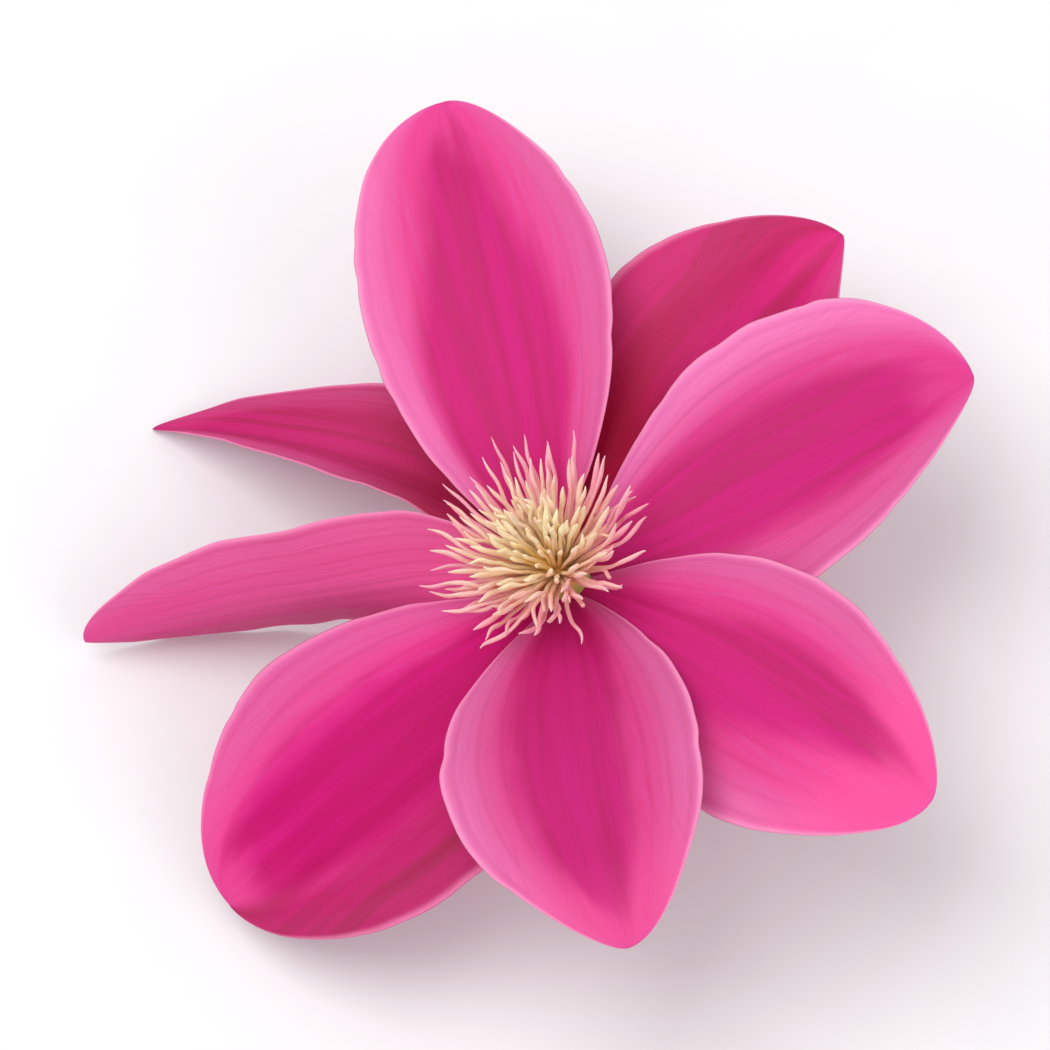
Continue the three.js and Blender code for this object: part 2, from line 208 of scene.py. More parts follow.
# Each sepal's shape, as in the part: azimuth, length, layer, rise at root and tip, droop, sway, roll,
# fold and the fraction of the length where roll and fold are full, then (left, right) pairs of the
# outline's half width and of the powers that taper it towards the root and towards the tip.
# Then its colours: the dark bar's left and right edge, each at the root and at the tip (1 is the left
# margin, -1 the right one); a painted brightness for how light falls on the whole sepal; painted shade
# on its middle and right half and on its left half; how much paler pink it gets, painted for the
# velvet's sheen at a grazing angle (pale); how streaked it is; painted light at its left margin, its
# right margin and its tip; and painted shade towards its root (shade).
SEPAL_DEFAULTS = dict(
    droop=0, roll=0, fold=4, fold_by=0.35,
    left=(0.6, 0.4), right=(-0.55, -0.45), painted_lighting=1.0, painted_shade=0.0, painted_shade_left=0.0, pale=0.0, streaks=0.5,
    painted_light_left=0.0, painted_light_right=0.0, painted_light_tip=0.0, shade=0.0,
)
SEPALS = [
    dict(azimuth=103, length=76.9, layer=0, rise=(16, 4), droop=-10, sway=-1,
         half_width=(20, 20.3), root_taper=(0.72, 1.05), tip_taper=(0.52, 0.96),
         left=(0.78, 0.32), right=(-0.62, -0.38), painted_lighting=0.97, streaks=0.3, painted_light_left=0.6),
    dict(azimuth=52, length=67.4, layer=3, rise=(2, 0), droop=-10, sway=-2,
         half_width=(24.2, 25), root_taper=(0.98, 0.87), tip_taper=(0.85, 1.63),
         left=(0.7, 0.5), right=(-0.6, -0.4), painted_lighting=1.12, painted_shade=0.6, painted_shade_left=0.8, pale=0.15, streaks=0.6,
         shade=0.95),
    dict(azimuth=25, length=68.6, layer=2, rise=(6, 0), droop=-15, sway=-2.4,
         half_width=(22.5, 21.5), root_taper=(0.93, 0.74), tip_taper=(0.66, 1.12),
         left=(0.52, 0.38), right=(-0.52, -0.56), painted_lighting=0.92, streaks=0.4, painted_light_left=1.0),
    dict(azimuth=-32.6, length=69.3, layer=1, rise=(11, 0), droop=-15, sway=-4.3,
         half_width=(18.9, 21.9), root_taper=(0.94, 0.74), tip_taper=(1, 0.76),
         left=(0.43, 0.5), right=(-0.66, -0.06), painted_lighting=0.96, streaks=0.3, painted_light_right=0.4,
         painted_light_tip=0.9),
    dict(azimuth=-84.4, length=65.3, layer=0, rise=(22, 8), droop=-10, sway=8,
         half_width=(19.5, 21.7), root_taper=(0.74, 1.12), tip_taper=(0.77, 1.32),
         left=(0.54, 0.3), right=(-0.56, -0.42), painted_lighting=0.86, streaks=0.4, painted_light_left=0.4, painted_light_right=0.7,
         painted_light_tip=0.6, shade=0.12),
    dict(azimuth=-127.7, length=71.3, layer=1, rise=(8, -10), droop=-40, sway=-16,
         half_width=(25, 24.9), root_taper=(0.89, 0.93), tip_taper=(1.01, 0.8),
         left=(0.5, 0.42), right=(-0.46, -0.54), painted_lighting=0.98, painted_shade_left=0.75, streaks=0.4,
         painted_light_tip=0.3),
    dict(azimuth=180, length=77, layer=2, rise=(4, -10.2), sway=3, roll=-79, fold=-19, fold_by=0.5,
         half_width=(15.5, 15.5), root_taper=(0.8, 0.8), tip_taper=(0.9, 0.9),
         left=(0.9, 0.7), right=(-0.1, 0.05), painted_lighting=1.0, painted_shade_left=0.3, pale=0.55, streaks=1.0),
    dict(azimuth=132.5, length=71.3, layer=3, rise=(-5, -10.7), sway=29.3, roll=23, fold=31,
         half_width=(12.7, 13.4), root_taper=(1.5, 1), tip_taper=(1.85, 1.6),
         left=(0.75, 0.6), right=(-0.8, -0.6), painted_lighting=1.0, painted_shade=0.55, painted_shade_left=0.5, pale=0.2, streaks=1.0,
         shade=0.7),
]

# ---------------------------------------------------------------- arithmetic


def lerp(a, b, share):
    return a + (b - a) * share


def smoothstep(value, low, high):
    share = np.clip((value - low) / (high - low), 0, 1)
    return share * share * (3 - 2 * share)


def unit(vectors):
    return vectors / np.linalg.norm(vectors, axis=-1, keepdims=True)


def turn(axis, degrees):
    """The matrix that turns column vectors by degrees round the axis, 0 for X, 1 for Y or 2 for Z."""
    c, s = np.cos(np.radians(degrees)), np.sin(np.radians(degrees))
    i, j = (axis + 1) % 3, (axis + 2) % 3
    matrix = np.identity(3)
    matrix[i, i] = matrix[j, j] = c
    matrix[i, j], matrix[j, i] = -s, s
    return matrix


def direction(azimuth, from_axis):
    """The unit vector at an azimuth from +X and an angle from +Z, both in degrees."""
    a, f = np.radians(azimuth), np.radians(from_axis)
    return np.array([np.sin(f) * np.cos(a), np.sin(f) * np.sin(a), np.cos(f)])


def within(s, span):
    """1 between the two stretches of a span and 0 beyond them, with a soft change in each."""
    start, end = span
    return smoothstep(s, *start) * smoothstep(s, *end)


def waves(x, seed, count):
    """Smooth irregular waves between about -1 and 1, alike on every run for one seed. The count is how
    many sine waves they are added up from."""
    draw = np.random.default_rng(seed)
    total = 0
    for k in range(count):
        rate = (k + 1) * draw.uniform(0.8, 1.25)
        total = total + np.sin(2 * np.pi * (rate * x + draw.random())) / (k + 1)
    return total / 1.6


HEAD = turn(1, -LEAN)
TUFT = HEAD @ turn(0, -TUFT_TILT_Y) @ turn(1, -TUFT_TILT_X)


def place_head(points):
    """From the blossom's own frame to the row frame."""
    return points @ HEAD.T + FLOWER


def place_tuft(points):
    """From the tuft's own frame, whose origin is the dome's centre, to the row frame."""
    return points @ TUFT.T + np.array([0, 0, DOME_HEIGHT]) @ HEAD.T + FLOWER


# ---------------------------------------------------------------- meshes


def loft(name, rings, attributes):
    """A closed solid through rings of points, [ring, point, xyz] in mm, with flat ends. Each
    attribute is one number for each point."""
    ring_count, sides = rings.shape[:2]
    index = np.arange(ring_count * sides).reshape(ring_count, sides)
    after = np.roll(index, -1, axis=1)
    quads = np.stack([index[:-1], after[:-1], after[1:], index[1:]], axis=-1).reshape(-1, 4)
    faces = quads.tolist() + [index[0, ::-1].tolist(), index[-1].tolist()]
    mesh = bpy.data.meshes.new(name)
    mesh.from_pydata((rings.reshape(-1, 3) * MM).tolist(), [], faces)
    mesh.polygons.foreach_set("use_smooth", np.ones(len(mesh.polygons), bool))
    for key, values in attributes.items():
        layer = mesh.attributes.new(key, "FLOAT", "POINT")
        layer.data.foreach_set("value", np.broadcast_to(values, (ring_count, sides)).ravel())
    mesh.update()
    piece = bpy.data.objects.new(name, mesh)
    bpy.context.scene.collection.objects.link(piece)
    return piece


def finish_piece(piece, material, slot, *nodes):
    """Gives a piece its material and its place in the frame."""
    piece.data.materials.append(material)
    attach(piece, "root")
    if nodes:
        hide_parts(*nodes)


# ---------------------------------------------------------------- material helpers


def colour(red, green, blue):
    """Screen values from 0 to 255 as the linear colour that a shader takes."""
    c = np.array([red, green, blue]) / 255
    linear = np.where(c <= 0.04045, c / 12.92, ((c + 0.055) / 1.055) ** 2.4)
    return (*map(float, linear), 1.0)


class Shader:
    """One node material, built a node at a time. A value is a number, a colour or another node's
    output."""

    def __init__(self, name):
        self.material = bpy.data.materials.new(name)
        self.material.use_nodes = True
        self.tree = self.material.node_tree
        self.surface = self.tree.nodes["Principled BSDF"]

    def put(self, socket, value):
        if isinstance(value, bpy.types.NodeSocket):
            self.tree.links.new(value, socket)
        else:
            socket.default_value = value

    def set(self, **values):
        """Sets the surface's sockets: roughness=0.5 sets the one called Roughness."""
        for name, value in values.items():
            self.put(self.surface.inputs[name.replace("_", " ").title().replace("Ior", "IOR")], value)

    def attribute(self, name):
        node = self.tree.nodes.new("ShaderNodeAttribute")
        node.attribute_name = name
        return node.outputs["Fac"]

    def math(self, operation, a, b=0.0):
        node = self.tree.nodes.new("ShaderNodeMath")
        node.operation = operation
        self.put(node.inputs[0], a)
        self.put(node.inputs[1], b)
        return node.outputs[0]

    def add(self, a, b):
        return self.math("ADD", a, b)

    def subtract(self, a, b):
        return self.math("SUBTRACT", a, b)

    def multiply(self, a, b):
        return self.math("MULTIPLY", a, b)

    def smooth(self, value, low, high, start=0.0, end=1.0):
        """start where value is at low, end where it is at high, with a soft change between."""
        node = self.tree.nodes.new("ShaderNodeMapRange")
        node.interpolation_type = "SMOOTHSTEP"
        for socket, number in zip(node.inputs, (value, low, high, start, end)):
            self.put(socket, number)
        return node.outputs[0]

    def blend(self, share, a, b, mode="MIX"):
        node = self.tree.nodes.new("ShaderNodeMix")
        node.data_type = "RGBA"
        node.blend_type = mode
        colours = [socket for socket in node.inputs if socket.type == "RGBA"]
        first, second = (socket for socket in colours if socket.name in "AB")
        self.put(node.inputs["Factor"], share)
        self.put(first, a)
        self.put(second, b)
        return next(socket for socket in node.outputs if socket.type == "RGBA")

    def vector(self, x, y, z):
        node = self.tree.nodes.new("ShaderNodeCombineXYZ")
        for socket, value in zip(node.inputs, (x, y, z)):
            self.put(socket, value)
        return node.outputs[0]

    def place(self):
        """The point's place in the row frame, which is also the object's own."""
        return self.tree.nodes.new("ShaderNodeTexCoord").outputs["Object"]

    def noise(self, vector, scale, detail=2.0):
        node = self.tree.nodes.new("ShaderNodeTexNoise")
        self.put(node.inputs["Vector"], vector)
        self.put(node.inputs["Scale"], scale)
        self.put(node.inputs["Detail"], detail)
        return node.outputs["Fac"]

    def streaks(self, x, x_rate, y, y_rate, seed, detail=2.0):
        """Noise over x and y that changes at each one's own rate. The seed picks the pattern."""
        place = self.vector(self.multiply(x, x_rate), self.multiply(y, y_rate), seed)
        return self.noise(place, 1.0, detail)

    def bump(self, height, depth):
        node = self.tree.nodes.new("ShaderNodeBump")
        self.put(node.inputs["Height"], height)
        self.put(node.inputs["Distance"], depth * MM)
        self.put(node.inputs["Strength"], 1.0)
        self.put(self.surface.inputs["Normal"], node.outputs[0])


# ---------------------------------------------------------------- sepals

BAR = colour(196, 10, 112)
BAR_DEEP = colour(178, 4, 88)
BAR_BRIGHT = colour(208, 24, 126)
MARGIN_INNER = colour(220, 56, 136)
MARGIN_OUTER = colour(213, 90, 152)
# Painted light on the margin that faces the light.
MARGIN_PAINTED_LIGHT = colour(238, 120, 184)
MARGIN_LILAC = colour(204, 96, 168)
TIP_PINK = colour(228, 62, 142)
# Painted light at the tip.
TIP_PAINTED_LIGHT = colour(240, 78, 152)
# Partly the thin margin's own pale colour, partly a painted highlight.
RIM_AND_HIGHLIGHT = colour(244, 150, 190)
# Painted shade, in crimson.
PAINTED_SHADE_CRIMSON = colour(146, 6, 46)
SHADE = colour(150, 8, 48)
# Paler pink, painted for the velvet's sheen at a grazing angle.
PAINTED_SHEEN_PINK = colour(226, 92, 150)
BACK_MARGIN = colour(204, 88, 148)
BACK_BAR = colour(212, 178, 172)
BACK_VEIN = colour(160, 46, 106)
SHEEN = colour(255, 170, 210)

BAR_EDGE = (-0.10, 0.16)          # where the bar begins and is full, in from its edge
VEIN_WIDTH = 0.035                # of a main vein to each side, as a share of the sepal's half width
PATTERN_STEP = 7.3                # between the seeds of two sepals' patterns


def sepal_patterns(m, seed):
    """Where a point lies on the sepal (across, along and outwards), a soft wander for the edges of its
    colours, broad and fine streaks that follow the veins, and side veins that fan out."""
    across, along = m.attribute("across"), m.attribute("along")
    outwards = m.math("ABSOLUTE", across)
    wander = m.multiply(m.subtract(m.streaks(across, 2.2, along, 3.0, seed), 0.5), 0.34)
    lane = m.add(across, m.multiply(wander, 0.35))
    lane = m.multiply(lane, m.smooth(along, 0.65, 1.0, 1.0, 0.4))
    fan = m.subtract(m.multiply(outwards, 26.0), m.multiply(along, 15.0))
    return SimpleNamespace(
        across=across,
        along=along,
        outwards=outwards,
        wander=wander,
        broad=m.streaks(lane, 7.0, along, 0.9, seed),
        fine=m.streaks(lane, 34.0, along, 1.7, seed),
        side_veins=m.streaks(fan, 1.0, along, 2.0, seed, 3.0),
    )


def sepal_bar(m, sepal, p):
    """1 on the dark bar and 0 beside it. It lies between two edges that run from root to tip."""
    edges = [m.add(m.smooth(p.along, 0.05, 1.0, *sepal[side]), p.wander) for side in ("left", "right")]
    inside_left = m.smooth(m.subtract(edges[0], p.across), *BAR_EDGE)
    inside_right = m.smooth(m.subtract(p.across, edges[1]), *BAR_EDGE)
    towards_tip = m.smooth(m.add(p.along, p.wander), 0.82, 0.98, 1.0, 0.1)
    return m.multiply(m.multiply(inside_left, inside_right), towards_tip)


def sepal_margins(m, sepal, p):
    """The lighter pink beside the bar, lilac along the side veins and a clearer pink at the tip, and
    painted light on the margins and at the tip where the sepal faces the light.
    """
    # Painted light: the outer margin turns lighter on the side where the sepal faces the light.
    light = m.smooth(p.across, -0.3, 0.3, sepal["painted_light_right"], sepal["painted_light_left"])
    outer = m.blend(light, MARGIN_OUTER, MARGIN_PAINTED_LIGHT)
    margin = m.blend(m.smooth(p.outwards, 0.45, 0.95), MARGIN_INNER, outer)
    margin = m.blend(m.smooth(p.side_veins, 0.42, 0.72, 0.0, 0.22), margin, MARGIN_LILAC)
    margin = m.blend(m.smooth(p.along, 0.8, 1.0, 0.0, 0.4), margin, TIP_PINK)
    # Painted light at the tip, where the sepal faces the light.
    return m.blend(m.smooth(p.along, 0.6, 0.95, 0.0, sepal["painted_light_tip"]), margin, TIP_PAINTED_LIGHT)


def sepal_upper_face(m, sepal, p):
    """The bar and the margins, with veins over both, and then this sepal's painted light and shade: a
    lighter tip, shade on its halves and at its root, a paler pink for the sheen and an overall
    brightness.
    """
    bar = m.blend(0.5, m.blend(m.smooth(p.broad, 0.36, 0.62), BAR_DEEP, BAR_BRIGHT), BAR)
    face = m.blend(sepal_bar(m, sepal, p), sepal_margins(m, sepal, p), bar)
    face = m.blend(m.smooth(p.fine, 0.48, 0.68, 0.0, 0.2 * sepal["streaks"]), face, BAR_DEEP)
    face = m.blend(m.smooth(p.along, 0.04, 0.22, 0.3, 0.0), face, BAR_DEEP)

    beside_vein = m.math("PINGPONG", m.add(p.across, m.multiply(p.wander, 0.1)), VEIN_STEP / 2)
    vein = m.smooth(beside_vein, 0.0, VEIN_WIDTH, 1.0, 0.0)
    vein = m.multiply(vein, m.smooth(p.along, 0.6, 0.95, 1.0, 0.1))
    face = m.blend(m.multiply(vein, 0.42 * sepal["streaks"]), face, BAR_DEEP)

    # Painted light towards the tip.
    face = m.blend(m.smooth(p.along, 0.74, 1.0, 0.0, 0.6 * sepal["painted_light_tip"]), face, TIP_PAINTED_LIGHT)
    # Painted shade on the middle and right half and on the left half, in crimson with deeper streaks.
    painted_shade = m.smooth(m.add(p.across, p.wander), 0.1, 0.6, sepal["painted_shade"], sepal["painted_shade_left"])
    face = m.blend(painted_shade, face, m.blend(m.smooth(p.broad, 0.3, 0.7), PAINTED_SHADE_CRIMSON, BAR_DEEP))
    # Paler pink, painted for the velvet's sheen where the face is seen at a grazing angle.
    face = m.blend(m.smooth(p.along, 0.5, 1.0, sepal["pale"], 0.5 * sepal["pale"]), face, PAINTED_SHEEN_PINK)
    face = m.blend(m.smooth(p.along, 0.28, 0.62, sepal["shade"], 0.0), face, SHADE)
    # A painted brightness over the whole face, for how light falls on this sepal.
    return m.blend(1.0, face, (*[sepal["painted_lighting"]] * 3, 1.0), "MULTIPLY")


def sepal_lower_face(m, p):
    """The reverse: paler, with a whitish bar and darker veins."""
    bar = m.smooth(p.outwards, 0.08, 0.30, 0.85, 0.0)
    bar = m.multiply(bar, m.smooth(p.along, 0.3, 1.0, 1.0, 0.3))
    face = m.blend(bar, BACK_MARGIN, BACK_BAR)
    return m.blend(m.smooth(p.fine, 0.5, 0.64, 0.0, 0.6), face, BACK_VEIN)


def sepal_material(number, sepal):
    """Velvety pink on both faces, with a thin pale rim that is partly its own colour and partly a
    painted highlight, fine grooves and tiny papillae.
    """
    m = Shader(f"sepal_velvet_{number}")
    p = sepal_patterns(m, PATTERN_STEP * number)
    # The most painted shade that the sepal has; it weakens the rim's painted highlight and the gloss.
    painted_shadedness = max(sepal["painted_shade"], sepal["painted_shade_left"])
    face = m.blend(m.attribute("top"), sepal_lower_face(m, p), sepal_upper_face(m, sepal, p))
    # The pale rim: partly the thin margin's own colour, partly a painted highlight where it catches the
    # light.
    rim = m.smooth(p.outwards, 0.93, 0.995, 0.0, lerp(0.75, 0.5, painted_shadedness))
    m.set(
        base_color=m.blend(rim, face, RIM_AND_HIGHLIGHT),
        roughness=m.smooth(p.broad, 0.3, 0.7, 0.52, 0.66),
        specular_ior_level=0.24 * (1 - 0.8 * painted_shadedness),
        sheen_weight=0.04,
        sheen_roughness=0.45,
        sheen_tint=SHEEN,
        subsurface_weight=0.12,
        subsurface_radius=(1.0, 0.3, 0.5),
        subsurface_scale=1.2 * MM,
    )
    papillae = m.noise(m.place(), 5200.0)
    relief = m.add(m.multiply(p.fine, 0.8), m.multiply(papillae, 0.25))
    m.bump(m.add(relief, m.multiply(p.side_veins, 0.4)), 0.13)
    return m.material


def half_widths(sepal, s):
    """Half widths of the left and the right side at the fractions s, [row, side]. Each side is widest
    where its two tapers balance, and has a claw at the root."""
    sides = []
    for half, root, tip in zip(sepal["half_width"], sepal["root_taper"], sepal["tip_taper"]):
        widest = root / (root + tip)
        at_s, at_widest = (
            x ** root * np.sqrt(1 - x) * (1 - x + TIP_ROUND) ** (tip - 0.5) for x in (s, widest)
        )
        sides.append(half * at_s / at_widest + CLAW * (1 - s) ** 20)
    return np.stack(sides, axis=1)


def rise_at(sepal, s):
    return np.radians(lerp(*sepal["rise"], s) + sepal["droop"] * s ** 5)


def midrib_at(sepal, s):
    """The midrib's points at the fractions s, for a sepal that points along +X."""
    steps = (np.arange(MIDRIB_STEPS) + 0.5) / MIDRIB_STEPS
    rise = rise_at(sepal, s[:, None] * steps)
    step = sepal["length"] * s / MIDRIB_STEPS
    x = SEPAL_ROOT + step * np.cos(rise).sum(axis=1)
    z = step * np.sin(rise).sum(axis=1) - sepal["layer"] * LAYER_STEP
    return np.stack([x, sepal["sway"] * s ** 2, z], axis=1)


def sepal_surface(sepal, s, t, seed):
    """The middle surface, [row, column, xyz], with its panels, its wandering outline and its waves."""
    rise = rise_at(sepal, s)
    slope = 2 * sepal["sway"] * s / sepal["length"]
    along = unit(np.stack([np.cos(rise), slope, np.sin(rise)], axis=1))
    level = np.stack([-np.sin(rise), np.zeros_like(s), np.cos(rise)], axis=1)
    across = unit(np.cross(level, along))
    turned = smoothstep(s, 0, sepal["fold_by"])
    roll = np.radians(sepal["roll"]) * turned
    across = across * np.cos(roll)[:, None] + np.cross(along, across) * np.sin(roll)[:, None]
    up = np.cross(along, across)
    fold = np.radians(sepal["fold"]) * turned

    def margin_waves(rate, first_seed):
        """Waves of the left and the right margin, [row, side]."""
        return np.stack([waves(s * rate, first_seed, 3), waves(s * rate, first_seed + 1, 3)], axis=1)

    side = np.where(t < 0, 1, 0)
    outline = MARGIN_WANDER * margin_waves(MARGIN_WAVES, seed + 1)
    notches = MARGIN_NICK * np.abs(margin_waves(MARGIN_NICKS, seed + 3)) ** 3
    wander = 1 + (outline - notches)[:, side] * np.abs(t) ** 3
    half = half_widths(sepal, s)[:, side]
    height = (np.hypot(t, FOLD_SOFTNESS) - FOLD_SOFTNESS) / (np.hypot(1, FOLD_SOFTNESS) - FOLD_SOFTNESS)

    middle = within(s, PANEL_SPAN)[:, None]
    bulge = PANEL_BULGE * 4 * np.abs(t) * (1 - np.abs(t)) * middle
    flutter = margin_waves(MARGIN_WAVES, seed + 5)[:, side]
    lift = bulge + MARGIN_WAVE * flutter * np.abs(t) ** 4 * middle

    sideways = half * t * wander * np.cos(fold)[:, None]
    upwards = half * height * np.sin(fold)[:, None] + lift
    points = midrib_at(sepal, s)[:, None] + sideways[..., None] * across[:, None]
    return (points + upwards[..., None] * up[:, None]) @ turn(2, sepal["azimuth"]).T


def build_sepal(number, sepal):
    """A closed sepal: each ring of the loft runs under its lower face and back over the upper one."""
    u = np.linspace(0, 1, SEPAL_ROWS + 1)
    s = lerp(0.0, SEPAL_END, 1 - (1 - u) ** ROW_CROWDING)
    v = np.linspace(-1, 1, SEPAL_COLUMNS + 1)
    t = lerp(v, np.sin(v * np.pi / 2), COLUMN_CROWDING)
    surface = sepal_surface(sepal, s, t, 10 * number)
    rows = np.gradient(surface, axis=0)
    columns = np.gradient(surface, axis=1)
    normal = unit(np.cross(rows, columns))

    edge = np.sqrt(np.clip(1 - np.abs(t) ** EDGE_POWER, 0, 1))
    half = lerp(MIDRIB_THICKNESS, MARGIN_THICKNESS, t ** 2) / 2 * edge
    half = half * lerp(TIP_THINNESS, 1, smoothstep(s, 1, THINNER_FROM))[:, None]
    ribs = sum(np.exp(-((t - rib) / RIB_WIDTH) ** 2) for rib in RIBS) * within(s, RIB_SPAN)[:, None]
    upper = surface + normal * (half - RIB_DEPTH * ribs)[..., None]
    lower = surface - normal * (half + RIB_HEIGHT * ribs)[..., None]

    rings = np.concatenate([lower, upper[:, -2:0:-1]], axis=1)
    attributes = {
        "across": np.concatenate([t, t[-2:0:-1]]),
        "along": s[:, None],
        "top": np.concatenate([np.where(np.abs(t) < 1, 0.0, 0.5), np.ones(SEPAL_COLUMNS - 1)]),
    }
    piece = loft(f"sepal_blade_{number}", place_head(rings), attributes)
    finish_piece(piece, sepal_material(number, sepal), "sepal", f"sepal_{number}")


for index, changes in enumerate(SEPALS):
    build_sepal(index + 1, {**SEPAL_DEFAULTS, **changes})

# ---------------------------------------------------------------- threads: stamens and pistils

CREAM = colour(255, 232, 186)
CREAM_LIGHT = colour(255, 238, 198)
CREAM_DEEP = colour(255, 214, 150)
CREAM_SHADE = colour(246, 186, 130)
BLUSH = colour(250, 172, 192)
YELLOW = colour(255, 222, 142)
YELLOW_DEEP = colour(255, 206, 104)
YELLOW_SHADE = colour(246, 176, 96)

FIRST_SIDE = (0.3, 1.0, 0.0)      # where a ring's first point lies, unless a piece says so
NEARLY_AXIS = (0.0, 0.013, 1.0)   # close to the tuft's axis, but not along any thread


def sweep_rings(centres, radii, sides, side=FIRST_SIDE, section=None):
    """Rings of points round a centre line. The section says how far each point stands out, for each
    ring and each point, where it isn't 1."""
    tangents = unit(np.gradient(centres, axis=0))
    angles = 2 * np.pi * np.arange(sides) / sides
    shape = np.ones((len(centres), sides)) if section is None else section
    rings = []
    side = np.array(side)
    for centre, along, radius, reach in zip(centres, tangents, radii, shape):
        side = unit(side - along * (side @ along))
        other = np.cross(along, side)
        out = np.outer(np.cos(angles), side) + np.outer(np.sin(angles), other)
        rings.append(centre + out * (radius * reach)[:, None])
    return np.array(rings)


def thread_line(azimuth, from_axis, arch, length, u):
    """The quadratic curve of a stamen or pistil, which leaves the dome straight and bends outwards."""
    first = direction(azimuth, from_axis)
    start = first * (DOME_RADIUS - ROOT_DEPTH)
    middle = first * (DOME_RADIUS + THREAD_GAP + length / 2)
    end = middle + direction(azimuth, from_axis + arch) * length / 2
    u = u[:, None]
    return start * (1 - u) ** 2 + 2 * middle * u * (1 - u) + end * u ** 2


def bent_line(azimuth, from_axis, arch, length, draw, waver, curl, kink=0.0):
    """A thread's centre line in the tuft's frame. It wavers sideways by up to waver mm, its end
    curls up by curl mm, and beyond the middle it may turn off sideways by kink mm."""
    u = np.linspace(0, 1, THREAD_RINGS + 1)
    line = thread_line(azimuth, from_axis, arch, length, u)
    heading = direction(azimuth, from_axis)
    sideways = unit(np.cross(heading, NEARLY_AXIS))
    upwards = np.cross(sideways, heading)
    seed = int(draw.integers(1 << 30))
    side_ripple, lift_ripple = THREAD_RIPPLES
    sway = waver * (draw.uniform(-1, 1) * u ** 2 + side_ripple * waves(u * THREAD_WAVES, seed, 2) * u)
    sway = sway + kink * smoothstep(u, *KINK_SPAN)
    lift = curl * u ** 3 + lift_ripple * waver * waves(u * THREAD_WAVES, seed + 1, 2) * u
    return u, line + np.outer(sway, sideways) + np.outer(lift, upwards), upwards


def pointed(u, start):
    """The shares of a thread's radius that its end keeps, from start on."""
    return np.sqrt(np.clip(1 - smoothstep(u, start, POINT_END), POINT_LEFT, 1))


def thread_material(name, root_colour, middle_colour, tip_colour, shade_colour, roughness):
    """A slightly translucent plant thread. Its colour runs from root to tip, turns pink where the
    piece's blush says so, and varies from place to place."""
    m = Shader(name)
    along, blush = m.attribute("along"), m.attribute("blush")
    body = m.blend(m.smooth(along, 0.0, 0.35), root_colour, middle_colour)
    body = m.blend(m.smooth(along, 0.55, 0.75), body, tip_colour)
    pink = m.multiply(blush, m.smooth(along, 0.1, 0.7, 0.45, 1.0))
    body = m.blend(pink, body, BLUSH)
    mottle = m.noise(m.place(), 700.0, 3.0)
    body = m.blend(m.smooth(mottle, 0.5, 0.8, 0.0, 0.35), body, shade_colour)
    m.set(
        base_color=body,
        roughness=roughness,
        specular_ior_level=0.45,
        subsurface_weight=0.5,
        subsurface_radius=(1.0, 0.62, 0.34),
        subsurface_scale=0.9 * MM,
    )
    m.bump(m.noise(m.place(), 3200.0), 0.1)
    return m.material


STAMEN = thread_material("stamen_cream", CREAM_DEEP, CREAM, CREAM_LIGHT, CREAM_SHADE, 0.42)
PISTIL = thread_material("pistil_yellow", YELLOW_DEEP, YELLOW, CREAM, YELLOW_SHADE, 0.5)


def build_stamen(
    name, azimuth, from_axis, arch, length, seed,
    nodes=(), waver=STAMEN_WAVER, kink=0.0, slim=1.0, curl=STAMEN_CURL,
):
    """A stamen: a ribbon-like filament that widens into a long anther with a furrow and a pointed
    end. The outer stamens curl up and blush pink."""
    draw = np.random.default_rng(seed)
    outwards = np.clip((from_axis - STAMEN_ANGLES[0]) / (STAMEN_ANGLES[1] - STAMEN_ANGLES[0]), 0, 1)
    lift = draw.uniform(*curl) * outwards
    u, line, upwards = bent_line(azimuth, from_axis, arch, length, draw, waver, lift, kink)

    anther = smoothstep(u, *(1 - ANTHER_SHARE + offset for offset in ANTHER_START))
    radii = slim * lerp(lerp(*FILAMENT_RADII, u), ANTHER_RADIUS, anther) * pointed(u, ANTHER_POINT)
    angles = 2 * np.pi * np.arange(THREAD_SIDES) / THREAD_SIDES
    ribbon = 1 - FILAMENT_FLATNESS * np.cos(angles) ** 2
    furrowed = ANTHER_REACH + ANTHER_FURROW * np.cos(2 * angles)
    section = lerp(ribbon[None], furrowed[None], anther[:, None])
    rings = sweep_rings(line, radii, THREAD_SIDES, upwards, section)

    at_top = (0.5 + 0.5 * np.sin(np.radians(azimuth))) ** 3
    blush = lerp(*BLUSH_RANGE, outwards) + BLUSH_AT_TOP * at_top
    blush = np.clip(blush + draw.uniform(-BLUSH_SPREAD, BLUSH_SPREAD), 0, 1)
    piece = loft(name, place_tuft(rings), {"along": u[:, None], "blush": blush})
    finish_piece(piece, STAMEN, "stamen", *nodes)


def stamen_angle(place):
    """Degrees from the tuft's axis: place runs from 0, innermost, to 1, outermost."""
    inner, outer = np.cos(np.radians(STAMEN_ANGLES))
    return np.degrees(np.arccos(lerp(inner, outer, place)))


for index in range(STAMENS):
    place = (index + 0.5) / STAMENS
    azimuth = index * GOLDEN_ANGLE
    build_stamen(
        f"stamen_thread_{index + 1:02d}",
        azimuth,
        stamen_angle(place),
        lerp(*STAMEN_ARCH, place),
        lerp(*STAMEN_LENGTHS, place),
        SEEDS["stamen"] + index,
        nodes=[f"stamen_{index + 1:02d}"],
        kink=-SIDE_KINK * place * np.cos(np.radians(azimuth)),
    )

